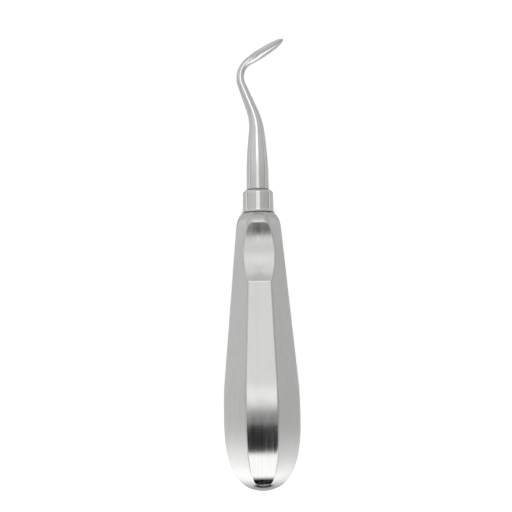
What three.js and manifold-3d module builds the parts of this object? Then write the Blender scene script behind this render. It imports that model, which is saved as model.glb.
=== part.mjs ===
// A dental root elevator: a bent shank with a spoon-shaped blade, held in a hollow, pear-shaped steel handle
// that has eight ground flats and a thumb rest. Millimetres.
// The tool lies on the ground flat of its back, with its thumb rest up (+Z) and its blade towards +Y.
// Every piece is drawn in the tool's own frame, where y is the station: the distance along the axis from
// the butt of the handle. One group then turns the tool onto its flat.
import * as THREE from "three";
import { mergeVertices } from "three/addons/utils/BufferGeometryUtils.js";
import Module from "manifold-3d";

const wasm = await Module();
wasm.setup();

// Handle, outside. A half width is half the distance across two opposite flats.
const FLATS = 8;
const HANDLE_LENGTH = 98;
const WIDEST_STATION = 24;
const WIDEST_HALF = 13.3;
const TAPER_START = 38;
const TAPER_START_HALF = 12.9;
const TAPER_END = 93;
const TAPER_END_HALF = 7.85;
const SHOULDER_START = 90;
const NECK_RADIUS = 5.45;
const BUTT_DOME_LENGTH = 18;
const BUTT_DOME_RADIUS = 14.5;

// Thumb rest: a round groove ground across the front flat.
const REST_STATION = 83.4;
const REST_RADIUS = 29.5;
const REST_DEPTH = 1.95;

// Handle, inside: a cavity that follows the outside, and an octagonal pocket for the collar's foot.
const WALL = 1.5;
const CAVITY_END = 88;
const POCKET_END = 95.6;
const POCKET_HALF = 5.85;
const MOUTH_RADIUS = 4.4;

// Collar, and the fits around it.
const FIT = 0.05;
const COLLAR_RADIUS = 5.4;
const COLLAR_TOP = 105.95;
const COLLAR_ROUND = 1.2;
const COLLAR_FLARE = 0.4;
const COLLAR_WAIST = 4.3;
const FOOT_START = 89;
const SOCKET_DEPTH = 3;

// Shank, tang and blade. The bends are corners of the centre line, each rounded to its radius.
const TANG_START = 76;
const TANG_RADIUS = 3;
const SHANK_RADIUS = 3.88;
const SOLDER_SIZE = 0.45;
const FIRST_BEND = { corner: new THREE.Vector2(0, 131.2), radius: 24 };
const SECOND_BEND = { corner: new THREE.Vector2(-7.2, 149.9), radius: 7.3 };
const TIP = new THREE.Vector2(10.2, 160.9);

// Spoon: the round bar swells, and a hollow is ground into it. The hollow's right edge, the ridge, keeps its
// angle from the front, and its left edge turns away as the grinding starts. Lengths run back from the tip.
const SPOON_LENGTH = 18;
const SPOON_RADIUS = 1.8;
const TIP_ROUND = 9;
const HOLLOW_START = 15;
const HOLLOW_FULL = 8.4;
const HOLLOW_DEPTH = 0.42;
const RIDGE_ANGLE = THREE.MathUtils.degToRad(20);
const FACE_TURN = THREE.MathUtils.degToRad(40);

const TAPER = (TAPER_START_HALF - TAPER_END_HALF) / (TAPER_END - TAPER_START);
const FACE_ANGLE = (2 * Math.PI) / FLATS;
const SAMPLES_PER_FLAT = 6;
const ROUND_SIDES = 32;
const BAR_SIDES = 24;

// --- Outlines -------------------------------------------------------------------------------------------

// A function of the station, read off an outline drawn in (station, radius).
function readOutline(path) {
  const points = path.getPoints(60);
  return (station) => {
    const next = points.findIndex((p) => p.x > station);
    if (next < 1) return points.at(next).y;
    const [a, b] = [points[next - 1], points[next]];
    return THREE.MathUtils.mapLinear(station, a.x, b.x, a.y, b.y);
  };
}

// Half width across the flats: rounded at the butt, straight along the taper, rounded over at the shoulder.
const flatsOutline = new THREE.Path();
const blendStation = TAPER_START - 5;
const blendHalf = TAPER_START_HALF + 5 * TAPER;
flatsOutline.moveTo(0, 4.2);
flatsOutline.bezierCurveTo(2.8, 6.9, 5.3, WIDEST_HALF, WIDEST_STATION, WIDEST_HALF);
flatsOutline.bezierCurveTo(28, WIDEST_HALF, blendStation, blendHalf, TAPER_START, TAPER_START_HALF);
flatsOutline.lineTo(TAPER_END, TAPER_END_HALF);
flatsOutline.bezierCurveTo(94.6, 7.7, 96.5, 7.3, HANDLE_LENGTH, 5.2);
const halfWidth = readOutline(flatsOutline);

const shoulderOutline = new THREE.Path();
shoulderOutline.moveTo(SHOULDER_START, 8.9);
shoulderOutline.bezierCurveTo(92.5, 8.35, 96.2, 8.2, HANDLE_LENGTH, NECK_RADIUS);
const shoulderRadius = readOutline(shoulderOutline);

// Radius at a station of an elliptical dome that starts on the axis.
function domeRadius(station, length, radius) {
  if (station >= length) return Infinity;
  return radius * Math.sqrt(1 - ((length - station) / length) ** 2);
}

// Radius of the turned blank that the flats are ground on.
function blankRadius(station) {
  if (station >= SHOULDER_START) return shoulderRadius(station);
  return domeRadius(station, BUTT_DOME_LENGTH, BUTT_DOME_RADIUS);
}

// Radius of the bare shank.
const shankOutline = new THREE.Path();
shankOutline.moveTo(COLLAR_TOP - SOCKET_DEPTH, SHANK_RADIUS);
shankOutline.lineTo(111, SHANK_RADIUS);
shankOutline.bezierCurveTo(122.5, 3.85, 128.5, 2.2, 138, 1.86);
shankOutline.bezierCurveTo(142, 1.74, 146, 1.35, 151, 1.33);
const shankRadius = readOutline(shankOutline);

// --- Solids ---------------------------------------------------------------------------------------------

function solid(geometry) {
  const bare = new THREE.BufferGeometry();
  bare.setAttribute("position", geometry.getAttribute("position"));
  bare.setIndex(geometry.getIndex());
  const merged = mergeVertices(bare, 1e-4);
  const mesh = new wasm.Mesh({
    numProp: 3,
    vertProperties: new Float32Array(merged.getAttribute("position").array),
    triVerts: new Uint32Array(merged.getIndex().array),
  });
  return new wasm.Manifold(mesh);
}

// A ring of points around the axis: an octagon of this half width, cut back to this radius.
function octagonRing(station, half, radius = Infinity, samples = SAMPLES_PER_FLAT) {
  const points = [];
  for (let i = 0; i < FLATS * samples; i++) {
    const fromMiddle = ((i % samples) / samples - 0.5) * FACE_ANGLE;
    const angle = Math.floor(i / samples) * FACE_ANGLE + fromMiddle;
    const r = Math.min(half / Math.cos(fromMiddle), radius);
    points.push(new THREE.Vector3(r * Math.sin(angle), station, r * Math.cos(angle)));
  }
  return points;
}

function middle(points) {
  const sum = points.reduce((total, p) => total.add(p), new THREE.Vector3());
  return sum.divideScalar(points.length);
}

// A closed solid through rings of equal count. Each end ring fans in to an end point.
function loft(rings, start = middle(rings[0]), end = middle(rings.at(-1))) {
  const count = rings[0].length;
  const vertices = [start, ...rings.flat(), end];
  const last = vertices.length - 1;
  const triangles = [];
  for (let i = 0; i < count; i++) {
    const j = (i + 1) % count;
    triangles.push(0, 1 + j, 1 + i);
    triangles.push(last, last - count + i, last - count + j);
    for (let r = 0; r + 1 < rings.length; r++) {
      const low = 1 + r * count;
      const high = low + count;
      triangles.push(low + i, low + j, high + j);
      triangles.push(low + i, high + j, high + i);
    }
  }
  const geometry = new THREE.BufferGeometry().setFromPoints(vertices);
  return solid(geometry.setIndex(triangles));
}

// A turned solid, from an outline of [station, radius] pairs that starts and ends off the axis.
function turned(outline, sides = ROUND_SIDES) {
  const ends = [[outline[0][0], 0], ...outline, [outline.at(-1)[0], 0]];
  const points = ends.map(([station, radius]) => new THREE.Vector2(radius, station));
  return solid(new THREE.LatheGeometry(points, sides));
}

function box(width, length, height, x, y, z) {
  return solid(new THREE.BoxGeometry(width, length, height).translate(x, y, z));
}

// --- Handle ---------------------------------------------------------------------------------------------

const buttStations = [0.12, 0.45, 1, 1.5, 2, 2.6, 3.4, 4.4, 5.8, 7.6, 10, 13, 16, 20];
const bellyStations = [WIDEST_STATION, 28, 33, TAPER_START];
const shoulderStations = [SHOULDER_START, TAPER_END, 94, 94.8, 95.5, 96.1, 96.7, 97.2, 97.6, HANDLE_LENGTH];

function handleBlank() {
  const stations = [...buttStations, ...bellyStations, ...shoulderStations];
  const rings = stations.map((s) => octagonRing(s, halfWidth(s), blankRadius(s)));
  return loft(rings, new THREE.Vector3(0, 0, 0));
}

// A cylinder across the tool, whose lower side cuts the thumb rest, or follows it inside the wall.
function restGroove(radius, length) {
  const flatAngle = Math.atan(TAPER);
  const lift = REST_RADIUS - REST_DEPTH;
  const groove = new THREE.CylinderGeometry(radius, radius, length, 96);
  groove.rotateZ(Math.PI / 2);
  groove.translate(
    0,
    REST_STATION + lift * Math.sin(flatAngle),
    halfWidth(REST_STATION) + lift * Math.cos(flatAngle),
  );
  return solid(groove);
}

function handleCavity() {
  const stations = [2.6, 4.5, 8, 13, 18, WIDEST_STATION, 30, TAPER_START, CAVITY_END];
  const rings = stations.map((s) => {
    const dome = domeRadius(s - WALL, BUTT_DOME_LENGTH - WALL, BUTT_DOME_RADIUS - WALL);
    return octagonRing(s, halfWidth(s) - WALL, dome, 2);
  });
  const hollow = loft(rings, new THREE.Vector3(0, WALL + 0.4, 0));
  const pocket = loft([
    octagonRing(CAVITY_END - 1, POCKET_HALF, Infinity, 1),
    octagonRing(POCKET_END, POCKET_HALF, Infinity, 1),
  ]);
  const mouth = turned([[POCKET_END - 1, MOUTH_RADIUS], [HANDLE_LENGTH + 1, MOUTH_RADIUS]]);
  return hollow.subtract(restGroove(REST_RADIUS + WALL, 40)).add(pocket).add(mouth);
}

// The half of the handle on one side (1 front, -1 back) of the plane where the two shells are welded.
function handleShell(handle, side) {
  const size = 60;
  const half = box(size, 2 * HANDLE_LENGTH + size, size, 0, HANDLE_LENGTH / 2, (side * (size + FIT)) / 2);
  return handle.intersect(half);
}

// --- Collar, solder and blade ---------------------------------------------------------------------------

function neckCollar() {
  const bottom = HANDLE_LENGTH + FIT;
  const roundStart = COLLAR_TOP - COLLAR_ROUND;
  const outline = [
    [FOOT_START + 1, COLLAR_WAIST],
    [bottom, COLLAR_WAIST],
    [bottom, COLLAR_RADIUS + COLLAR_FLARE],
    [bottom + 0.25, COLLAR_RADIUS + COLLAR_FLARE / 2],
    [bottom + 0.8, COLLAR_RADIUS + COLLAR_FLARE / 4],
  ];
  for (const degrees of [0, 22.5, 45, 67.5, 90]) {
    const angle = THREE.MathUtils.degToRad(degrees);
    const radius = COLLAR_RADIUS - COLLAR_ROUND * (1 - Math.cos(angle));
    outline.push([roundStart + COLLAR_ROUND * Math.sin(angle), radius]);
  }
  const footHalf = POCKET_HALF - FIT;
  const foot = loft([
    octagonRing(FOOT_START, footHalf, Infinity, 1),
    octagonRing(POCKET_END - FIT, footHalf, Infinity, 1),
  ]);
  const socket = COLLAR_TOP - SOCKET_DEPTH - FIT;
  const bore = turned([
    [FOOT_START - 1, TANG_RADIUS + 2 * FIT],
    [socket, TANG_RADIUS + 2 * FIT],
    [socket, SHANK_RADIUS + 2 * FIT],
    [COLLAR_TOP + 1, SHANK_RADIUS + 2 * FIT],
  ]);
  return turned(outline, 48).add(foot).subtract(bore);
}

// The fillet of hard solder in the corner between collar and shank.
function solderRing() {
  const bottom = COLLAR_TOP + FIT / 2;
  const inner = SHANK_RADIUS + FIT;
  const fillet = turned([
    [bottom, inner + SOLDER_SIZE],
    [bottom + 0.35 * SOLDER_SIZE, inner + 0.35 * SOLDER_SIZE],
    [bottom + SOLDER_SIZE, inner + 0.1],
  ]);
  return fillet.subtract(turned([[bottom - 1, inner], [bottom + 2, inner]]));
}

// The centre line in (x, station), with each corner rounded.
function centreLine() {
  const corners = [new THREE.Vector2(0, TANG_START), FIRST_BEND.corner, SECOND_BEND.corner, TIP];
  const path = new THREE.Path();
  path.moveTo(corners[0].x, corners[0].y);
  [FIRST_BEND, SECOND_BEND].forEach(({ corner, radius }, i) => {
    const before = corner.clone().sub(corners[i]).normalize();
    const after = corners[i + 2].clone().sub(corner).normalize();
    const turn = Math.asin(before.cross(after));
    const reach = radius * Math.tan(Math.abs(turn) / 2);
    const side = Math.sign(turn);
    const enter = corner.clone().addScaledVector(before, -reach);
    const centre = new THREE.Vector2(-before.y, before.x).multiplyScalar(side * radius).add(enter);
    const from = enter.clone().sub(centre).angle();
    path.lineTo(enter.x, enter.y);
    path.absarc(centre.x, centre.y, radius, from, from + turn, turn < 0);
  });
  path.lineTo(TIP.x, TIP.y);
  return path;
}

// The angles of a section's points, from the front: even steps, of which one meets the ridge, and the
// hollow's left edge.
function sectionAngles() {
  const step = (2 * Math.PI) / BAR_SIDES;
  const even = Array.from({ length: BAR_SIDES }, (_, i) => RIDGE_ANGLE + i * step - Math.PI);
  return [...even, -2 * FACE_TURN - RIDGE_ANGLE].sort((a, b) => a - b);
}

// One section of the blade and shank, as (right, up) pairs around its centre. It is round, but for the
// hollow in front of the spoon. toTip is the distance to the tip along the centre line.
function section(station, toTip) {
  const { clamp, smoothstep, lerp } = THREE.MathUtils;
  const swell = smoothstep(SPOON_LENGTH - toTip, 0, SPOON_LENGTH - TIP_ROUND);
  const progress = clamp((HOLLOW_START - toTip) / (HOLLOW_START - HOLLOW_FULL), 0, 1);
  const ground = 1 - (1 - progress) ** 2;
  const round = Math.sqrt(1 - (1 - Math.min(toTip / TIP_ROUND, 1)) ** 2);
  const radius = lerp(shankRadius(station), SPOON_RADIUS, swell) * round;
  const turn = (FACE_TURN + RIDGE_ANGLE) * ground - RIDGE_ANGLE;
  const level = radius * Math.cos(RIDGE_ANGLE + turn);
  const halfChord = Math.max(radius * Math.sin(RIDGE_ANGLE + turn), 1e-6);
  const depth = (HOLLOW_DEPTH * progress * radius) / SPOON_RADIUS;
  return sectionAngles().map((angle) => {
    const across = radius * Math.sin(angle + turn);
    const bar = radius * Math.cos(angle + turn);
    const hollow = level - depth * clamp(1 - (across / halfChord) ** 2, 0, 1);
    const above = Math.min(bar, hollow);
    return [
      across * Math.cos(turn) - above * Math.sin(turn),
      across * Math.sin(turn) + above * Math.cos(turn),
    ];
  });
}

function bladeAndShank() {
  const path = centreLine();
  const length = path.getLength();
  const socket = COLLAR_TOP - SOCKET_DEPTH - TANG_START;
  const stops = [socket, COLLAR_TOP - TANG_START, 36, 42, 46];
  for (let d = 49; d < length - SPOON_LENGTH; d += 1.4) stops.push(d);
  for (let toTip = SPOON_LENGTH; toTip > HOLLOW_START; toTip -= 1) stops.push(length - toTip);
  for (let toTip = HOLLOW_START; toTip > 1; toTip -= 0.6) stops.push(length - toTip);
  for (const toTip of [0.85, 0.5, 0.25, 0.1]) stops.push(length - toTip);
  const ringAt = (distance, outline) => {
    const centre = path.getPointAt(distance / length);
    const along = path.getTangentAt(distance / length);
    return outline.map(
      ([right, up]) => new THREE.Vector3(centre.x + right * along.y, centre.y - right * along.x, up),
    );
  };
  const tangRing = (distance, radius) => {
    const outline = sectionAngles().map((a) => [radius * Math.sin(a), radius * Math.cos(a)]);
    return ringAt(distance, outline);
  };
  const rings = [tangRing(0, TANG_RADIUS - 0.5), tangRing(0.5, TANG_RADIUS), tangRing(socket, TANG_RADIUS)];
  for (const distance of stops) {
    rings.push(ringAt(distance, section(TANG_START + distance, length - distance)));
  }
  return loft(rings);
}

// --- Assembly -------------------------------------------------------------------------------------------

const satinSteel = { color: 0xc4c4c2, roughness: 0.34, metalness: 1 };
const polishedSteel = { color: 0xd2d2d0, roughness: 0.1, metalness: 1 };
const solderMetal = { color: 0x9c9c8e, roughness: 0.3, metalness: 1 };

function piece(name, manifold, finish) {
  const { vertProperties, triVerts } = manifold.getMesh();
  const geometry = new THREE.BufferGeometry();
  geometry.setAttribute("position", new THREE.BufferAttribute(vertProperties, 3));
  geometry.setIndex(new THREE.BufferAttribute(triVerts, 1));
  geometry.computeVertexNormals();
  const mesh = new THREE.Mesh(geometry, new THREE.MeshStandardMaterial(finish));
  mesh.name = name;
  return mesh;
}

const handle = handleBlank().subtract(restGroove(REST_RADIUS, 40)).subtract(handleCavity());
const tool = new THREE.Group();
tool.add(piece("handle_front_shell", handleShell(handle, 1), satinSteel));
tool.add(piece("handle_back_shell", handleShell(handle, -1), satinSteel));
tool.add(piece("neck_collar", neckCollar(), polishedSteel));
tool.add(piece("solder_ring", solderRing(), solderMetal));
tool.add(piece("blade_and_shank", bladeAndShank(), polishedSteel));

// The back flat slopes by TAPER, so the tool is turned by that angle to lie on it.
tool.rotation.x = -Math.atan(TAPER);
const elevator = new THREE.Group();
elevator.add(tool);
const bounds = new THREE.Box3().setFromObject(elevator, true);
const centre = bounds.getCenter(new THREE.Vector3());
tool.position.set(-centre.x, -centre.y, -bounds.min.z);

export default elevator;
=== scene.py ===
# The looks of a dental root elevator that lies on its back flat, thumb rest up and blade towards +Y.
# Every piece is drawn in millimetres in the tool's own frame, where y is the station: the distance along
# the axis from the butt of the handle. place() then scales a piece to metres and lays the tool on its flat.
import math

import bmesh
import bpy
import numpy as np
from mathutils import Matrix, Vector


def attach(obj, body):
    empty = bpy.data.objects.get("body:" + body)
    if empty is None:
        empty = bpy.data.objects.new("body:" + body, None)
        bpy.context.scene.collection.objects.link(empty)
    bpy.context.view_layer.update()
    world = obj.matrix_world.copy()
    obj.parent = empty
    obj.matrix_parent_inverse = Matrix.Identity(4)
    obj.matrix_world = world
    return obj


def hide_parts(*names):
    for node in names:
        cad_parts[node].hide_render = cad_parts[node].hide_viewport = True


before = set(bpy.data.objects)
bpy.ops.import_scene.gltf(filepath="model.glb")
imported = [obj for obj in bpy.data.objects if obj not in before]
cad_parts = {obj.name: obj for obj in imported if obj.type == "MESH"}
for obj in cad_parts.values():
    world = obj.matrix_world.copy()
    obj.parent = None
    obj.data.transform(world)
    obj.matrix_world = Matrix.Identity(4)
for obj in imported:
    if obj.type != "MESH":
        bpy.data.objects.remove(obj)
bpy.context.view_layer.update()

MM = 0.001
FAR = 1000.0

# Handle, outside. A half width is half the distance across two opposite flats.
HANDLE_LENGTH = 98
WIDEST_STATION = 24
WIDEST_HALF = 13.3
TAPER_START = 38
TAPER_START_HALF = 12.9
TAPER_END = 93
TAPER_END_HALF = 7.85
TAPER = (TAPER_START_HALF - TAPER_END_HALF) / (TAPER_END - TAPER_START)
SHOULDER_START = 90
NECK_RADIUS = 5.45
BUTT_DOME_LENGTH = 18
BUTT_DOME_RADIUS = 14.5
FLAT_ANGLE = math.radians(45)

# Thumb rest: a round groove across the front flat.
REST_STATION = 83.4
REST_RADIUS = 29.5
REST_DEPTH = 1.95

# Where the finish of the brushed flats changes: it is smoother up to the first pair of stations, and
# coarser from the second, just before the thumb rest. The thumb rest is cut where the cosine of the angle
# from the front's middle is over LEAST_FACING, and brushed where it is over BRUSHED_FACING.
BUTT_FINISH_END = (4, 9)
REST_FINISH_START = (REST_STATION - 12.5, REST_STATION - 9)
BRUSHED_FACING = 0.5
LEAST_FACING = 0.3

# How far the edges between the ground faces are eased, as the reach of smooth_min.
EDGE_EASE = 0.3
DOME_EASE = 0.12
REST_EASE = 0.16

# Handle, inside, and the seam between its two shells. The pocket's ends are steep steps, POCKET_STEP long.
# The inner skin starts at INNER_POLE on the axis, and both skins start POLE_LIFT above the seam's middle.
# The seam's lips are eased over SEAM_WIDTH, less so over the first stretch from the butt, SEAM_FADE long.
WALL = 1.5
CAVITY_END = 88
POCKET_END = 95.6
POCKET_HALF = 5.85
MOUTH_RADIUS = 4.4
POCKET_STEP = 0.01
INNER_POLE = WALL + 0.4
POLE_LIFT = 0.004
SEAM_GAP = 0.04
SEAM_WIDTH = 0.09
SEAM_DEPTH = 0.05
SEAM_FADE = 6

# Collar and solder. FIT is the gap between pieces, once or twice over.
FIT = 0.05
COLLAR_RADIUS = 5.4
COLLAR_TOP = 105.95
COLLAR_ROUND = 1.2
COLLAR_FLARE = 0.4
COLLAR_FLARE_LENGTH = 1.1
COLLAR_STRAIGHT_START = 1.6
COLLAR_BEVEL = 0.06
COLLAR_WAIST = 4.3
FOOT_START = 89
SOCKET_DEPTH = 3
SOLDER_SIZE = 0.45
SOLDER_CLEARANCE = 0.02

# Shank, tang and blade. A bend is a corner of the centre line, in (x, station), with its radius.
TANG_START = 76
TANG_RADIUS = 3
TANG_BEVEL = 0.5
SHANK_RADIUS = 3.88
FIRST_BEND = (0, 131.2)
FIRST_BEND_RADIUS = 24
SECOND_BEND = (-7.2, 149.9)
SECOND_BEND_RADIUS = 7.3
TIP = (10.2, 160.9)

# Spoon: the round bar swells, and a hollow is ground into it. The hollow's right edge, the ridge, keeps its
# place on the bar, and from there the ground face turns to the left as it deepens.
# Distances are along the centre line, back from the tip.
SPOON_LENGTH = 18
SPOON_RADIUS = 1.8
TIP_ROUND = 9
HOLLOW_START = 15
HOLLOW_FULL = 8.4
HOLLOW_DEPTH = 0.42
RIDGE_ANGLE = math.radians(20)
FACE_TURN = math.radians(40)

# How finely the meshes are drawn: ring spacings in millimetres, and steps around. The higher EDGE_CROWDING
# is, the closer the steps across a flat lie at its edges.
RING_SPACING = 0.8
REST_RING_SPACING = 0.2
REST_RINGS = (72, 95)
FLAT_STEPS = 24
REST_FLAT_STEPS = 40
EDGE_CROWDING = 0.45
SHANK_RING_SPACING = 0.3
FACE_STEPS = 46
BAR_STEPS = 82
MERGE_DISTANCE = 0.00001

# The tool's tilt onto its back flat, and where the butt's end of its axis then lies.
TILT = math.atan(TAPER)
BUTT = Vector((0, -80.2038, 16.3204)) * MM
PLACEMENT = Matrix.Translation(BUTT) @ Matrix.Rotation(-TILT, 4, "X") @ Matrix.Scale(MM, 4)


# --- Outlines --------------------------------------------------------------------------------------------

def bezier(start, first, second, end, count=240):
    """Points of a cubic curve between (station, radius) points."""
    t = np.linspace(0, 1, count)[:, None]
    points = [np.array(p, float) for p in (start, first, second, end)]
    weights = [(1 - t) ** 3, 3 * (1 - t) ** 2 * t, 3 * (1 - t) * t ** 2, t ** 3]
    return sum(w * p for w, p in zip(weights, points))


def outline(*stretches):
    """A function of the station, read off stretches of (station, radius) points."""
    points = np.concatenate([np.array(s, float) for s in stretches])
    return lambda station: np.interp(station, points[:, 0], points[:, 1])


# Butt, belly and shoulder of the flats. The taper is the straight line between the last two stretches.
half_width = outline(
    bezier((0, 4.2), (2.8, 6.9), (5.3, WIDEST_HALF), (WIDEST_STATION, WIDEST_HALF)),
    bezier((WIDEST_STATION, WIDEST_HALF), (28, WIDEST_HALF),
           (TAPER_START - 5, TAPER_START_HALF + 5 * TAPER), (TAPER_START, TAPER_START_HALF)),
    bezier((TAPER_END, TAPER_END_HALF), (94.6, 7.7), (96.5, 7.3), (HANDLE_LENGTH, 5.2)),
)
shoulder_radius = outline(
    bezier((SHOULDER_START, 8.9), (92.5, 8.35), (96.2, 8.2), (HANDLE_LENGTH, NECK_RADIUS)),
)

# The shank is straight from its socket, then tapers, and thins again towards the second bend.
shank_radius = outline(
    [(COLLAR_TOP - SOCKET_DEPTH, SHANK_RADIUS)],
    bezier((111, SHANK_RADIUS), (122.5, 3.85), (128.5, 2.2), (138, 1.86)),
    bezier((138, 1.86), (142, 1.74), (146, 1.35), (151, 1.33)),
)


def dome_radius(station, length, radius):
    """Radius of an elliptical dome that starts on the axis, or FAR past its end."""
    inside = np.clip((length - station) / length, 0, 1)
    return np.where(station < length, radius * np.sqrt(1 - inside ** 2), FAR)


def blank_radius(station):
    """Radius of the turned blank that the flats are ground on."""
    dome = dome_radius(station, BUTT_DOME_LENGTH, BUTT_DOME_RADIUS)
    return np.where(station >= SHOULDER_START, shoulder_radius(station), dome)


def rest_height(station, radius=REST_RADIUS):
    """Height above the axis of the thumb rest's floor, or FAR beside the groove."""
    lift = REST_RADIUS - REST_DEPTH
    along = station - REST_STATION - lift * math.sin(TILT)
    centre = half_width(REST_STATION) + lift * math.cos(TILT)
    reach = np.clip(1 - (along / radius) ** 2, 0, 1)
    return np.where(reach > 0, centre - radius * np.sqrt(reach), FAR)


def smooth_min(a, b, ease):
    """The smaller value, with the corner where they cross eased over this reach."""
    near = np.clip(1 - np.abs(a - b) / ease, 0, 1)
    return np.minimum(a, b) - near ** 2 * ease / 4


def smoothstep(x, low, high):
    t = np.clip((x - low) / (high - low), 0, 1)
    return t * t * (3 - 2 * t)


def octagon_radius(angle, half, ease=0.0):
    """Distance from the axis to an octagon's side at this angle, with its corners eased."""
    from_middle = angle - np.round(angle / FLAT_ANGLE) * FLAT_ANGLE
    own = half / np.cos(from_middle)
    if not ease:
        return own
    return smooth_min(own, half / np.cos(FLAT_ANGLE - np.abs(from_middle)), ease)


# --- Meshes ----------------------------------------------------------------------------------------------

def ring(angle, station, radius):
    """Points around the axis. Angle 0 is the front, and a quarter turn is +X."""
    angle, station, radius = np.broadcast_arrays(angle, station, radius)
    return np.stack([radius * np.sin(angle), station, radius * np.cos(angle)], axis=-1)


def grid_faces(rows, columns, first=0, around=False):
    """Quads between rows of vertices that are numbered row by row from first."""
    count = columns if around else columns - 1
    faces = []
    for row in range(rows - 1):
        low = first + row * columns
        high = low + columns
        for i in range(count):
            j = (i + 1) % columns
            faces.append((low + i, low + j, high + j, high + i))
    return faces


def strip(first, second, first_keys, second_keys):
    """Triangles between two lines of vertices, of any counts, whose keys say how far along each vertex is."""
    faces = []
    i = j = 0
    while i + 1 < len(first) or j + 1 < len(second):
        second_done = j + 1 == len(second)
        if second_done or (i + 1 < len(first) and first_keys[i + 1] <= second_keys[j + 1]):
            faces.append((first[i], first[i + 1], second[j]))
            i += 1
        else:
            faces.append((first[i], second[j + 1], second[j]))
            j += 1
    return faces


def place(name, points, faces, materials, sharp=40):
    """A smooth, closed piece from points in the tool's frame."""
    mesh = bpy.data.meshes.new(name)
    mesh.from_pydata([tuple(p) for p in points], [], faces)
    bm = bmesh.new()
    bm.from_mesh(mesh)
    bmesh.ops.remove_doubles(bm, verts=bm.verts, dist=MERGE_DISTANCE)
    bmesh.ops.recalc_face_normals(bm, faces=bm.faces)
    bm.to_mesh(mesh)
    bm.free()
    mesh.transform(PLACEMENT)
    mesh.polygons.foreach_set("use_smooth", [True] * len(mesh.polygons))
    mesh.set_sharp_from_angle(angle=math.radians(sharp))
    for material in materials:
        mesh.materials.append(material)
    piece = bpy.data.objects.new(name, mesh)
    bpy.context.scene.collection.objects.link(piece)
    return piece


def finish_piece(piece, node):
    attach(piece, "root")
    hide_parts(node)


# --- Materials -------------------------------------------------------------------------------------------

NOISE_RANGE = (0.3, 0.7)
PATCH_RANGE = (0.35, 0.7)


class Graph:
    """Short ways to add nodes to a node tree and join them."""

    def __init__(self, tree):
        self.tree = tree

    def add(self, kind, inputs=(), output=0, **settings):
        node = self.tree.nodes.new("ShaderNode" + kind)
        for name, value in settings.items():
            setattr(node, name, value)
        self.fill(node, dict(inputs))
        return node.outputs[output]

    def fill(self, node, inputs):
        for name, value in inputs.items():
            if isinstance(value, bpy.types.NodeSocket):
                self.tree.links.new(value, node.inputs[name])
            else:
                node.inputs[name].default_value = value

    def math(self, operation, *values, clamp=False):
        return self.add("Math", enumerate(values), operation=operation, use_clamp=clamp)

    def total(self, first, *others):
        """The sum of sockets and numbers."""
        for other in others:
            first = self.math("ADD", first, other)
        return first

    def product(self, first, *others):
        """The product of sockets and numbers."""
        for other in others:
            first = self.math("MULTIPLY", first, other)
        return first

    def without(self, level, share):
        """The level where the share is 0, and nothing where it is 1."""
        return self.product(level, self.math("SUBTRACT", 1.0, share))

    def parts(self, vector):
        """The x, y and z of a vector."""
        return [self.add("SeparateXYZ", {0: vector}, output=i) for i in range(3)]

    def span(self, value, low, high, to_low=0.0, to_high=1.0, smooth=True):
        """The value's way from low to high, as a number from to_low to to_high."""
        inputs = {0: value, 1: low, 2: high, 3: to_low, 4: to_high}
        kind = "SMOOTHSTEP" if smooth else "LINEAR"
        return self.add("MapRange", inputs, interpolation_type=kind)

    def blend(self, factor, low, high):
        """A colour between two. The mix node has sockets of the same name, so its colours go by number."""
        return self.add("Mix", {0: factor, 6: low, 7: high}, output=2, data_type="RGBA")

    def tool_point(self, *stretch):
        """The place in the tool's frame, in millimetres, stretched by one factor for each axis."""
        where = self.add("TexCoord", output="Object")
        turned = self.add("Mapping", {"Vector": where, "Rotation": (TILT, 0, 0)})
        factors = [s / MM for s in stretch]
        return self.add("VectorMath", {0: turned, 1: factors}, operation="MULTIPLY")

    def station(self):
        """The distance along the tool's axis from the butt, in millimetres."""
        along = self.parts(self.tool_point(1, 1, 1))[1]
        butt = (Matrix.Rotation(TILT, 3, "X") @ BUTT).y / MM
        return self.math("SUBTRACT", along, butt)

    def noise(self, stretch, detail=2.0, roughness=0.5):
        """Noise with this many waves per millimetre along each axis. Most of it lies in NOISE_RANGE."""
        inputs = {"Vector": self.tool_point(*stretch), "Scale": 1.0, "Detail": detail, "Roughness": roughness}
        return self.add("TexNoise", inputs)


def steel(name):
    """A bare metal material, with its graph and its shader."""
    material = bpy.data.materials.new(name)
    material.use_nodes = True
    shader = material.node_tree.nodes["Principled BSDF"]
    shader.inputs["Metallic"].default_value = 1.0
    return material, Graph(material.node_tree), shader


def grey(value, tint=0.985):
    """A grey, a little warm unless the tint is 1."""
    return (value, value, value * tint, 1.0)


def brushed_steel():
    """Front flat, back flat and thumb rest: brushed along the tool, in streaks of uneven depth."""
    material, graph, shader = steel("brushed_steel")
    fine = graph.noise((3.2, 0.05, 0.05), detail=3.0, roughness=0.6)
    broad = graph.noise((0.9, 0.02, 0.02), detail=2.0)
    patch = graph.noise((0.12, 0.08, 0.12), detail=3.0)
    streaks = graph.total(graph.product(fine, 0.65), graph.product(broad, 0.35))
    rough = graph.span(streaks, 0.32, 0.68, 0.15, 0.26, smooth=False)
    station = graph.station()
    coarser = graph.span(station, *REST_FINISH_START, 0.0, 0.1)
    smoother = graph.span(station, *BUTT_FINISH_END, -0.09, 0.0)
    worn = graph.total(rough, coarser, smoother, graph.span(patch, *PATCH_RANGE, -0.02, 0.03))
    colour = graph.blend(graph.span(streaks, *NOISE_RANGE), grey(0.64), grey(0.71))
    bump = graph.add("Bump", {"Strength": 1.0, "Distance": 0.006 * MM, "Height": streaks})
    tangent = graph.add("Tangent", direction_type="RADIAL", axis="Y")
    graph.fill(shader, {"Base Color": colour, "Roughness": worn, "Normal": bump, "Tangent": tangent,
                        "Anisotropic": 0.75})
    return material


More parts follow.
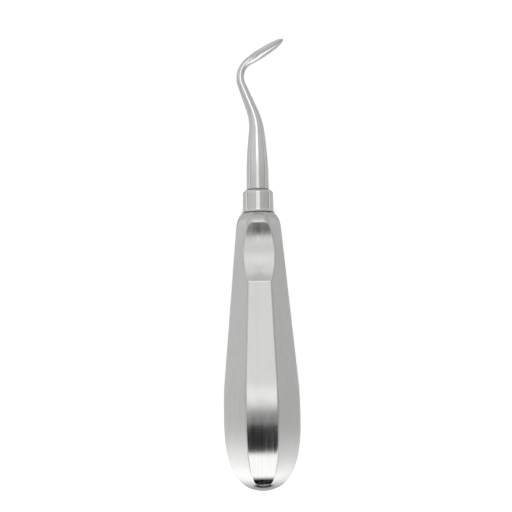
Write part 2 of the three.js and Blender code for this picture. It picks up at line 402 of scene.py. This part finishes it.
def satin_steel():
    """The rest of the handle: a fine, even satin with faint marks along the tool."""
    material, graph, shader = steel("satin_steel")
    grain = graph.noise((9.0, 1.2, 9.0), detail=2.0, roughness=0.6)
    marks = graph.noise((2.0, 0.06, 2.0), detail=2.0)
    patch = graph.noise((0.09, 0.05, 0.09), detail=3.0)
    tone = graph.total(graph.product(grain, 0.5), graph.product(marks, 0.5))
    rough = graph.span(tone, *NOISE_RANGE, 0.27, 0.36, smooth=False)
    worn = graph.total(rough, graph.span(patch, *PATCH_RANGE, -0.025, 0.025))
    colour = graph.blend(graph.span(tone, *NOISE_RANGE), grey(0.63), grey(0.70))
    bump = graph.add("Bump", {"Strength": 1.0, "Distance": 0.003 * MM, "Height": tone})
    tangent = graph.add("Tangent", direction_type="RADIAL", axis="Y")
    graph.fill(shader, {"Base Color": colour, "Roughness": worn, "Normal": bump, "Tangent": tangent,
                        "Anisotropic": 0.3})
    return material


def polished_steel():
    """Shank, blade and collar: mirror polished, with a slight waviness and faint wipe marks."""
    material, graph, shader = steel("polished_steel")
    wave = graph.noise((0.5, 0.12, 0.5), detail=1.0)
    haze = graph.noise((1.4, 0.25, 1.4), detail=3.0, roughness=0.6)
    rough = graph.span(haze, *PATCH_RANGE, 0.05, 0.11)
    colour = graph.blend(graph.span(haze, *NOISE_RANGE), grey(0.79), grey(0.75))
    bump = graph.add("Bump", {"Strength": 1.0, "Distance": 0.01 * MM, "Height": wave})
    graph.fill(shader, {"Base Color": colour, "Roughness": rough, "Normal": bump})
    return material


def hard_solder():
    """Silver solder: dull, slightly yellow and uneven."""
    material, graph, shader = steel("hard_solder")
    mottle = graph.noise((2.5, 2.5, 2.5), detail=4.0, roughness=0.65)
    colour = graph.blend(graph.span(mottle, 0.35, 0.65), (0.20, 0.20, 0.165, 1), (0.44, 0.43, 0.37, 1))
    rough = graph.span(mottle, *NOISE_RANGE, 0.28, 0.5)
    bump = graph.add("Bump", {"Strength": 1.0, "Distance": 0.04 * MM, "Height": mottle})
    graph.fill(shader, {"Base Color": colour, "Roughness": rough, "Normal": bump})
    return material


BRUSHED = brushed_steel()
SATIN = satin_steel()
POLISHED = polished_steel()
SOLDER = hard_solder()


# --- Handle ----------------------------------------------------------------------------------------------

def outer_stations():
    """Stations of the outer skin's rings, closest together over the butt, the thumb rest and the neck."""
    butt = BUTT_DOME_LENGTH * (1 - np.cos(np.linspace(0, math.pi / 2, 56)[1:]))
    belly = np.arange(BUTT_DOME_LENGTH + RING_SPACING, REST_RINGS[0], RING_SPACING)
    rest = np.arange(*REST_RINGS, REST_RING_SPACING)
    neck = np.linspace(REST_RINGS[1], HANDLE_LENGTH, 24)
    return np.concatenate([butt, belly, rest, neck])


def inner_stations():
    """Stations of the inner skin's rings: the cavity's, and then the ends of the pocket and of the mouth."""
    cavity = [2.2, 2.6, 3.2, 4.2, 5.5, 7, 9, 11.5, 14.5, 18, 24, 31, 38, 50, 62, 70, 73, 76, 79, 82, 85]
    ends = [CAVITY_END, CAVITY_END + POCKET_STEP, POCKET_END, POCKET_END + POCKET_STEP, HANDLE_LENGTH]
    return np.array(cavity + ends)


def shell_angles(front):
    """Angles from the front's middle, closer together at the edges between flats and along the thumb rest."""
    half_gap = SEAM_GAP / (2 * WIDEST_HALF)
    lip = SEAM_WIDTH / WIDEST_HALF
    quarter = math.pi / 2
    angles = [-quarter + half_gap, -quarter + lip]
    for flat in range(-2, 3):
        steps = REST_FLAT_STEPS if front and abs(flat) < 2 else FLAT_STEPS
        u = np.linspace(-1, 1, steps + 1)
        crowded = (1 + EDGE_CROWDING) * u - EDGE_CROWDING * u ** 3
        across = flat * FLAT_ANGLE + FLAT_ANGLE / 2 * crowded
        angles.extend(a for a in across if abs(a) < quarter - 1.5 * lip)
    angles.extend([quarter - lip, quarter - half_gap])
    return np.array(sorted({round(float(a), 6) for a in angles}))


def outer_radius(angle, station, front):
    """Outside of the handle, angle being measured from the middle of the front or the back flat."""
    radius = octagon_radius(angle, half_width(station), EDGE_EASE)
    radius = smooth_min(radius, blank_radius(station), DOME_EASE)
    if front:
        facing = np.cos(angle)
        groove = rest_height(station) / np.maximum(facing, LEAST_FACING)
        radius = smooth_min(radius, np.where(facing > LEAST_FACING, groove, FAR), REST_EASE)
    beside_seam = np.clip(1 - radius * np.cos(angle) / SEAM_WIDTH, 0, 1)
    return radius - SEAM_DEPTH * beside_seam * np.clip(station / SEAM_FADE, 0, 1)


def inner_radius(angle, station, front):
    """Inside of the handle: the cavity, which keeps its distance from the thumb rest, the pocket, and the
    mouth."""
    dome = dome_radius(station - WALL, BUTT_DOME_LENGTH - WALL, BUTT_DOME_RADIUS - WALL)
    cavity = np.minimum(octagon_radius(angle, half_width(station) - WALL), dome)
    if front:
        below_rest = rest_height(station, REST_RADIUS + WALL) / np.maximum(np.cos(angle), LEAST_FACING)
        cavity = np.minimum(cavity, below_rest)
    pocket = octagon_radius(angle, POCKET_HALF)
    beyond = np.where(station > POCKET_END, MOUTH_RADIUS, pocket)
    return np.where(station > CAVITY_END, beyond, cavity)


def is_brushed(angle, station, front):
    """Whether a place on the outside is on the front or back flat, or in the thumb rest."""
    on_flat = (abs(angle) < FLAT_ANGLE / 2) & (blank_radius(station) > half_width(station))
    if not front:
        return on_flat
    facing = np.maximum(np.cos(angle), LEAST_FACING)
    in_rest = rest_height(station) / facing < octagon_radius(angle, half_width(station))
    return on_flat | (in_rest & (facing > BRUSHED_FACING))


def skin_border(first, rows, columns, pole):
    """A skin's vertices along the seam, by way of its point at the butt, and those at the neck."""
    left = [first + r * columns for r in range(rows)]
    right = [v + columns - 1 for v in left]
    neck = list(range(left[-1], right[-1] + 1))
    return left[::-1] + [pole] + right, neck


def shell_skins(front):
    """Points and faces of a front half: an outer and an inner skin, joined along the seam and at the neck."""
    angles, stations = shell_angles(front), outer_stations()
    inside_angles = np.concatenate([angles[:1], angles[4:-4:4], angles[-1:]])
    inside_stations = inner_stations()
    outer = ring(angles, stations[:, None], outer_radius(angles, stations[:, None], front))
    radii = inner_radius(inside_angles, inside_stations[:, None], front)
    inner = ring(inside_angles, inside_stations[:, None], radii)
    poles = np.array([(0, 0, POLE_LIFT), (0, INNER_POLE, POLE_LIFT)], float)
    points = np.concatenate([outer.reshape(-1, 3), inner.reshape(-1, 3), poles])

    rows, columns = outer.shape[:2]
    inner_rows, inner_columns = inner.shape[:2]
    inner_first = rows * columns
    butt = inner_first + inner_rows * inner_columns
    inner_butt = butt + 1
    faces = grid_faces(rows, columns) + grid_faces(inner_rows, inner_columns, inner_first)
    faces += [(butt, i, i + 1) for i in range(columns - 1)]
    faces += [(inner_butt, inner_first + i, inner_first + i + 1) for i in range(inner_columns - 1)]

    seam, neck = skin_border(0, rows, columns, butt)
    inner_seam, inner_neck = skin_border(inner_first, inner_rows, inner_columns, inner_butt)
    seam_keys = np.concatenate([-stations[::-1], [0], stations])
    inner_keys = np.concatenate([-inside_stations[::-1], [0], inside_stations])
    faces += strip(seam, inner_seam, seam_keys, inner_keys)
    faces += strip(neck, inner_neck, angles, inside_angles)
    return points, faces


def brush_flats(piece, front):
    """Give brushed steel, the shell's second material, to the faces outside that have that finish."""
    to_tool = PLACEMENT.inverted()
    for face in piece.data.polygons:
        x, station, z = to_tool @ face.center
        if not front:
            x, z = -x, -z
        angle = math.atan2(x, z)
        outside = math.hypot(x, z) > float(inner_radius(angle, station, front)) + WALL / 2
        if z > 0 and outside and is_brushed(angle, station, front):
            face.material_index = 1


def handle_shell(name, front):
    """One half of the handle. The back is drawn as a front half without a thumb rest, and turned over."""
    points, faces = shell_skins(front)
    if not front:
        points *= (-1, 1, -1)
    piece = place(name, points, faces, [SATIN, BRUSHED])
    brush_flats(piece, front)
    return piece


# --- Collar and solder -----------------------------------------------------------------------------------

def closed_rings(name, rings, material, sharp=40):
    """A solid whose rings follow on from one another, and the last joins the first."""
    rings = rings + rings[:1]
    faces = grid_faces(len(rings), len(rings[0]), around=True)
    return place(name, np.concatenate(rings), faces, [material], sharp)


def neck_collar():
    """A turned bush: the octagonal foot in its pocket, the waist in the handle's mouth, a flared and then
    straight outside, and a rounded top with the shank's socket."""
    angles = np.linspace(0, 2 * math.pi, 192, endpoint=False)
    bottom = HANDLE_LENGTH + FIT
    foot_end = POCKET_END - FIT
    foot = octagon_radius(angles, POCKET_HALF - FIT)
    bore = TANG_RADIUS + 2 * FIT
    socket = SHANK_RADIUS + 2 * FIT
    socket_floor = COLLAR_TOP - SOCKET_DEPTH - FIT
    profile = [(FOOT_START, bore), (FOOT_START, foot), (foot_end, foot), (foot_end, COLLAR_WAIST),
               (bottom, COLLAR_WAIST), (bottom, COLLAR_RADIUS + COLLAR_FLARE - COLLAR_BEVEL),
               (bottom + COLLAR_BEVEL, COLLAR_RADIUS + COLLAR_FLARE)]
    for t in np.linspace(0.12, 1, 9):
        profile.append((bottom + COLLAR_FLARE_LENGTH * t, COLLAR_RADIUS + COLLAR_FLARE * (1 - t) ** 2))
    for station in np.linspace(bottom + COLLAR_STRAIGHT_START, COLLAR_TOP - COLLAR_ROUND, 10):
        profile.append((station, COLLAR_RADIUS))
    for turn in np.linspace(0, math.pi / 2, 15)[1:]:
        inset = COLLAR_ROUND * (1 - math.cos(turn))
        profile.append((COLLAR_TOP - COLLAR_ROUND + COLLAR_ROUND * math.sin(turn), COLLAR_RADIUS - inset))
    profile += [(COLLAR_TOP, socket), (socket_floor, socket), (socket_floor, bore)]
    rings = [ring(angles, station, radius) for station, radius in profile]
    return closed_rings("collar", rings, POLISHED)


def solder_ring():
    """A concave fillet whose foot runs out a little unevenly over the collar."""
    angles = np.linspace(0, 2 * math.pi, 160, endpoint=False)
    wide_waves = 0.07 * np.sin(3 * angles + 0.6)
    narrow_waves = 0.05 * np.sin(7 * angles + 2.0)
    spread = 1 + wide_waves + narrow_waves
    inner = SHANK_RADIUS + SOLDER_CLEARANCE
    bottom = COLLAR_TOP + FIT / 2
    profile = [(bottom, inner)]
    for turn in np.linspace(0, math.pi / 2, 10):
        out = SOLDER_SIZE * (1 - math.sin(turn)) * spread + SOLDER_CLEARANCE
        rise = SOLDER_SIZE * (1 - math.cos(turn)) + SOLDER_CLEARANCE
        profile.append((bottom + rise, inner + out))
    profile.append((bottom + SOLDER_SIZE + SOLDER_CLEARANCE, inner))
    rings = [ring(angles, station, radius) for station, radius in profile]
    return closed_rings("solder_fillet", rings, SOLDER)


# --- Blade and shank -------------------------------------------------------------------------------------

def centre_line(steps=6000):
    """The centre line by distance from the tang's end: positions, headings from +Y towards +X, distances."""
    corners = [np.array(p, float) for p in ((0, TANG_START), FIRST_BEND, SECOND_BEND, TIP)]
    legs = [b - a for a, b in zip(corners, corners[1:])]
    headings = [math.atan2(x, y) for x, y in legs]
    lengths = [math.hypot(x, y) for x, y in legs]
    marks = [0.0]
    heading_marks = [headings[0]]
    cut = 0.0
    for i, radius in enumerate((FIRST_BEND_RADIUS, SECOND_BEND_RADIUS)):
        turn = abs(headings[i + 1] - headings[i])
        reach = radius * math.tan(turn / 2)
        marks.append(marks[-1] + lengths[i] - cut - reach)
        marks.append(marks[-1] + radius * turn)
        heading_marks += [headings[i], headings[i + 1]]
        cut = reach
    marks.append(marks[-1] + lengths[-1] - cut)
    heading_marks.append(headings[-1])
    distance = np.linspace(0, marks[-1], steps)
    heading = np.interp(distance, marks, heading_marks)
    pace = distance[1]
    x = np.concatenate([[0], np.cumsum(np.sin((heading[1:] + heading[:-1]) / 2)) * pace])
    y = np.concatenate([[0], np.cumsum(np.cos((heading[1:] + heading[:-1]) / 2)) * pace])
    return x, TANG_START + y, heading, distance


def section_angles():
    """Angles around the bar, from its front, with one on the ridge and one on the hollow's other edge."""
    edge = -2 * FACE_TURN - RIDGE_ANGLE
    face = np.linspace(edge, RIDGE_ANGLE, FACE_STEPS, endpoint=False)
    bar = np.linspace(RIDGE_ANGLE, edge + 2 * math.pi, BAR_STEPS, endpoint=False)
    return np.concatenate([face, bar])


def section(angles, distance, to_tip):
    """One section of the bar, as right and up around its centre, with the hollow cut into it."""
    swell = float(smoothstep(SPOON_LENGTH - to_tip, 0, SPOON_LENGTH - TIP_ROUND))
    progress = min(max((HOLLOW_START - to_tip) / (HOLLOW_START - HOLLOW_FULL), 0), 1)
    ground = 1 - (1 - progress) ** 2
    radius = float(shank_radius(TANG_START + distance))
    radius += (SPOON_RADIUS - radius) * swell
    radius *= math.sqrt(1 - (1 - min(to_tip / TIP_ROUND, 1)) ** 2)
    turn = (FACE_TURN + RIDGE_ANGLE) * ground - RIDGE_ANGLE
    across = radius * np.sin(angles + turn)
    above = radius * np.cos(angles + turn)
    level = radius * math.cos(RIDGE_ANGLE + turn)
    half_chord = max(radius * math.sin(RIDGE_ANGLE + turn), 1e-6)
    depth = HOLLOW_DEPTH * progress * radius / SPOON_RADIUS
    hollow = level - depth * np.clip(1 - (across / half_chord) ** 2, 0, 1)
    above = np.where(above > level - 1e-9, hollow, above)
    return (across * math.cos(turn) - above * math.sin(turn),
            across * math.sin(turn) + above * math.cos(turn))


def blade_and_shank():
    """One forging: rings along the centre line, from the tang's end to the tip, closed at both ends."""
    angles = section_angles()
    sides = len(angles)
    line_x, line_y, heading, distance = centre_line()
    length = distance[-1]
    socket = COLLAR_TOP - SOCKET_DEPTH - TANG_START

    def ring_at(at, right, up):
        x, y, h = (np.interp(at, distance, values) for values in (line_x, line_y, heading))
        return np.stack([x + right * math.cos(h), y - right * math.sin(h), up], axis=-1)

    tang = [(0, TANG_RADIUS - TANG_BEVEL), (TANG_BEVEL, TANG_RADIUS), (socket, TANG_RADIUS)]
    rings = [ring_at(at, r * np.sin(angles), r * np.cos(angles)) for at, r in tang]
    shank = np.arange(socket, length - SPOON_LENGTH, SHANK_RING_SPACING)
    swell = np.linspace(length - SPOON_LENGTH, length - TIP_ROUND, 110)[:-1]
    point = length - TIP_ROUND * (1 - np.sin(np.linspace(0, math.pi / 2, 50)[:-1]))
    for at in np.concatenate([shank, swell, point]):
        rings.append(ring_at(at, *section(angles, at, length - at)))
    ends = [(0, TANG_START, 0), rings[-1].mean(axis=0)]
    count = len(rings) * sides
    faces = grid_faces(len(rings), sides, around=True)
    faces += [(count, (i + 1) % sides, i) for i in range(sides)]
    last = count - sides
    faces += [(count + 1, last + i, last + (i + 1) % sides) for i in range(sides)]
    return place("shank_and_spoon", np.concatenate(rings + [np.array(ends)]), faces, [POLISHED], sharp=32)


finish_piece(handle_shell("front_shell", True), "handle_front_shell")
finish_piece(handle_shell("back_shell", False), "handle_back_shell")
finish_piece(neck_collar(), "neck_collar")
finish_piece(solder_ring(), "solder_ring")
finish_piece(blade_and_shank(), "blade_and_shank")


# --- Floor, studio and camera ----------------------------------------------------------------------------
# A soft lamp and the room light the floor. The steel shows only what it reflects, drawn for it: a floor, a
# card overhead and a room. A level or a glow is the brightness of a part of these. A pair of numbers is the
# stretch over which one part turns into the next: on the floor and the card a stretch in metres, in x, in y
# or aside, which is x without its sign; in the room a stretch in x, y or z of the direction, which is 1 long.

CAMERA_HEIGHT = 0.516
FIELD_WIDTH = 0.1792
FIELD_CENTRE = Vector((-0.0011, 0.00203, 0.016))
CAMERA_ROLL = math.radians(-1.1)

FLOOR_SIZE = 8
FLOOR_DEPTH = 0.0001
FLOOR_TONE = 0.9
LAMP_HEIGHT = 1.2
LAMP_SIZE = 1.6
LAMP_ENERGY = 24

# The floor as reflections see it.
NEAR_LEVEL = 0.62
BESIDE_LEVEL = 1.08
BESIDE_EDGE = (0.03, 0.12)
RIGHT_SHARE = 0.86
RIGHT_EDGE = (-0.05, 0.05)
FAR_SHARE = 0.4
FAR_EDGE = (0.3, 1.2)
BUTT_GLOW = 1.0
BUTT_GLOW_ASIDE = 0.5
BUTT_GLOW_START = (-0.118, -0.076)
BUTT_GLOW_INNER_EDGE = (0.02, 0.045)
BUTT_GLOW_OUTER_EDGE = (0.06, 0.16)
STRIP_START = (-0.125, -0.105)
STRIP_EDGE = (0.02, 0.03)

# The overhead card: a dark gap around the lens and a white panel, whose level changes in steps of
# (start, end, change).
CARD_SIZE = 2
CARD_CLEARANCE = 0.004
CARD_START = (-0.265, -0.205)
CARD_END = (0.6, 0.8)
GAP_LEVEL = 0.008
GAP_HALF_WIDTH = 0.18
PANEL_LEVEL = 1.3
PANEL_START = (-0.028, 0.014)
PANEL_INSET = 0.05
PANEL_STEPS = ((0.03, 0.12, -0.32), (0.18, 0.28, 0.45), (0.32, 0.55, -0.6))
CARD_SOFTNESS = 0.01

# The room around: grey, and brighter in a white wall and a low glow behind the butt.
ROOM_LEFT = 0.56
ROOM_RIGHT = 0.43
ROOM_EDGE = (-0.6, 0.6)
BLADE_END_GLOW = 0.15
BLADE_END_EDGE = (0.05, 0.35)
WALL_GLOW = 0.95
WALL_EDGE = (-0.36, -0.22)
WALL_LEFT_EDGE = (-0.5, -0.3)
WALL_RIGHT_EDGE = (0.5, 0.62)
WALL_SPREAD = 0.3
WALL_SPREAD_EDGE = (0.4, 0.6)
LOW_GLOW_LEFT = 1.7
LOW_GLOW_RIGHT = 0.6
LOW_GLOW_SIDE_EDGE = (-0.3, 0.3)
LOW_GLOW_EDGE = (-0.35, -0.02)
LOW_GLOW_TOP = (0.08, 0.3)
HORIZON_SHARE = 0.25
HORIZON_TOP = (0.03, 0.15)
DOORWAY_EDGE = (-0.6, -0.5)
DOORWAY_SIDE_EDGE = (0.15, 0.35)
DOORWAY_TOP = (0.26, 0.5)


def stage_plane(name, size, height, material):
    """A square, level plane of the stage, in the middle."""
    mesh = bpy.data.meshes.new(name)
    corners = [(-1, -1), (1, -1), (1, 1), (-1, 1)]
    mesh.from_pydata([(x * size / 2, y * size / 2, 0) for x, y in corners], [], [(0, 1, 2, 3)])
    mesh.materials.append(material)
    plane = bpy.data.objects.new(name, mesh)
    plane.location = (0, 0, height)
    bpy.context.scene.collection.objects.link(plane)
    return plane


def glowing_graph(name):
    """An empty material, its graph, and the x and y of a place on its plane."""
    material = bpy.data.materials.new(name)
    material.use_nodes = True
    graph = Graph(material.node_tree)
    material.node_tree.nodes.clear()
    x, y, _ = graph.parts(graph.add("TexCoord", output="Object"))
    return material, graph, x, y


def show_in_reflections_only(name, size, height, material, graph, surface):
    """Finish the material with this surface, and put it on a plane that only reflections see."""
    output = material.node_tree.nodes.new("ShaderNodeOutputMaterial")
    graph.fill(output, {"Surface": surface})
    plane = stage_plane(name, size, height, material)
    plane.visible_camera = False
    plane.visible_diffuse = False
    plane.visible_shadow = False


def floor():
    """A plain white floor, which the tool's reflections don't see."""
    material = bpy.data.materials.new("floor")
    material.use_nodes = True
    shader = material.node_tree.nodes["Principled BSDF"]
    shader.inputs["Base Color"].default_value = grey(FLOOR_TONE, 1.0)
    shader.inputs["Roughness"].default_value = 0.8
    shader.inputs["Specular IOR Level"].default_value = 0.2
    plane = stage_plane("floor", FLOOR_SIZE, -FLOOR_DEPTH, material)
    plane.visible_glossy = False


def reflected_floor():
    """The floor that reflections see: grey beside the tool, white around the butt, and with a black strip
    straight beyond the butt, as a card laid there would give."""
    material, graph, x, y = glowing_graph("floor_in_reflections")
    aside = graph.math("ABSOLUTE", x)
    beside = graph.product(graph.span(aside, *BESIDE_EDGE, NEAR_LEVEL, BESIDE_LEVEL),
                           graph.span(x, *RIGHT_EDGE, 1.0, RIGHT_SHARE))
    around_butt = graph.product(graph.span(y, *BUTT_GLOW_START, 1.0, 0.0),
                                graph.span(aside, *BUTT_GLOW_OUTER_EDGE, BUTT_GLOW, BUTT_GLOW_ASIDE))
    around_butt = graph.without(around_butt, graph.span(aside, *BUTT_GLOW_INNER_EDGE, 1.0, 0.0))
    level = graph.product(graph.total(beside, around_butt), graph.span(aside, *FAR_EDGE, 1.0, FAR_SHARE))
    black_strip = graph.product(graph.span(aside, *STRIP_EDGE, 1.0, 0.0),
                                graph.span(y, *STRIP_START, 1.0, 0.0))
    level = graph.without(level, black_strip)
    glow = graph.add("Emission", {"Color": (1, 1, 1, 1), "Strength": level})
    show_in_reflections_only("floor_in_reflections", FLOOR_SIZE, -FLOOR_DEPTH / 2, material, graph, glow)


def overhead_card():
    """What hangs over the tool: a dark gap around the lens, and beyond it a long white panel."""
    material, graph, x, y = glowing_graph("overhead")
    white = graph.span(y, *PANEL_START)
    level = graph.total(graph.product(white, PANEL_LEVEL), GAP_LEVEL)
    for start, end, change in PANEL_STEPS:
        level = graph.total(level, graph.span(y, start, end, 0.0, change))
    half_across = graph.total(graph.product(white, -PANEL_INSET), GAP_HALF_WIDTH)
    past_edge = graph.math("SUBTRACT", graph.math("ABSOLUTE", x), half_across)
    cover = graph.product(graph.span(past_edge, -CARD_SOFTNESS, CARD_SOFTNESS, 1.0, 0.0),
                          graph.span(y, *CARD_START), graph.span(y, *CARD_END, 1.0, 0.0))
    glow = graph.add("Emission", {"Color": (1, 1, 1, 1), "Strength": level})
    surface = graph.add("MixShader", {0: cover, 1: graph.add("BsdfTransparent"), 2: glow})
    height = CAMERA_HEIGHT + CARD_CLEARANCE
    show_in_reflections_only("overhead_card", CARD_SIZE, height, material, graph, surface)


def studio_world():
    """A grey room with a dim horizon: white behind the butt, with a low glow at the sides and a dark doorway
    in the middle, and a little paler beyond the blade. Past the floor's edge the camera sees white."""
    world = bpy.data.worlds.new("studio")
    world.use_nodes = True
    bpy.context.scene.world = world
    graph = Graph(world.node_tree)
    x, y, z = graph.parts(graph.add("TexCoord", output="Generated"))
    aside = graph.math("ABSOLUTE", x)
    room = graph.span(x, *ROOM_EDGE, ROOM_LEFT, ROOM_RIGHT)
    blade_end = graph.span(y, *BLADE_END_EDGE, 0.0, BLADE_END_GLOW)
    past_right = graph.math("SUBTRACT", x, graph.span(z, *WALL_SPREAD_EDGE, 0.0, WALL_SPREAD))
    wall = graph.product(graph.span(y, *WALL_EDGE, WALL_GLOW, 0.0), graph.span(x, *WALL_LEFT_EDGE),
                         graph.span(past_right, *WALL_RIGHT_EDGE, 1.0, 0.0))
    low_glow = graph.product(graph.span(x, *LOW_GLOW_SIDE_EDGE, LOW_GLOW_LEFT, LOW_GLOW_RIGHT),
                             graph.span(y, *LOW_GLOW_EDGE, 1.0, 0.0), graph.span(z, *LOW_GLOW_TOP, 1.0, 0.0))
    horizon = graph.span(z, *HORIZON_TOP, HORIZON_SHARE, 1.0)
    doorway = graph.product(graph.span(z, *DOORWAY_TOP, 1.0, 0.0), graph.span(y, *DOORWAY_EDGE, 1.0, 0.0),
                            graph.span(aside, *DOORWAY_SIDE_EDGE, 1.0, 0.0))
    room = graph.without(graph.product(graph.total(room, blade_end, wall, low_glow), horizon), doorway)
    to_camera = graph.add("LightPath", output="Is Camera Ray")
    level = graph.total(to_camera, graph.without(room, to_camera))
    background = world.node_tree.nodes["Background"]
    graph.fill(background, {"Color": (1, 1, 1, 1), "Strength": level})


def floor_light():
    """Soft light for the floor alone. Steel doesn't show it, because it is hidden from reflections."""
    data = bpy.data.lights.new("soft_overhead", "AREA")
    data.shape = "SQUARE"
    data.size = LAMP_SIZE
    data.energy = LAMP_ENERGY
    light = bpy.data.objects.new("soft_overhead", data)
    light.location = (0, 0, LAMP_HEIGHT)
    light.visible_glossy = False
    light.visible_camera = False
    bpy.context.scene.collection.objects.link(light)


def camera():
    """A camera that looks straight down, and whose width at the tool's height is the field's."""
    data = bpy.data.cameras.new("camera")
    height = CAMERA_HEIGHT - FIELD_CENTRE.z
    data.sensor_fit = "HORIZONTAL"
    data.angle = 2 * math.atan(FIELD_WIDTH / 2 / height)
    data.clip_start = 0.01
    eye = bpy.data.objects.new("camera", data)
    eye.location = (FIELD_CENTRE.x, FIELD_CENTRE.y, CAMERA_HEIGHT)
    eye.rotation_euler = (0, 0, CAMERA_ROLL)
    bpy.context.scene.collection.objects.link(eye)
    bpy.context.scene.camera = eye


floor()
reflected_floor()
overhead_card()
studio_world()
floor_light()
camera()
bpy.context.scene.view_settings.view_transform = "Standard"
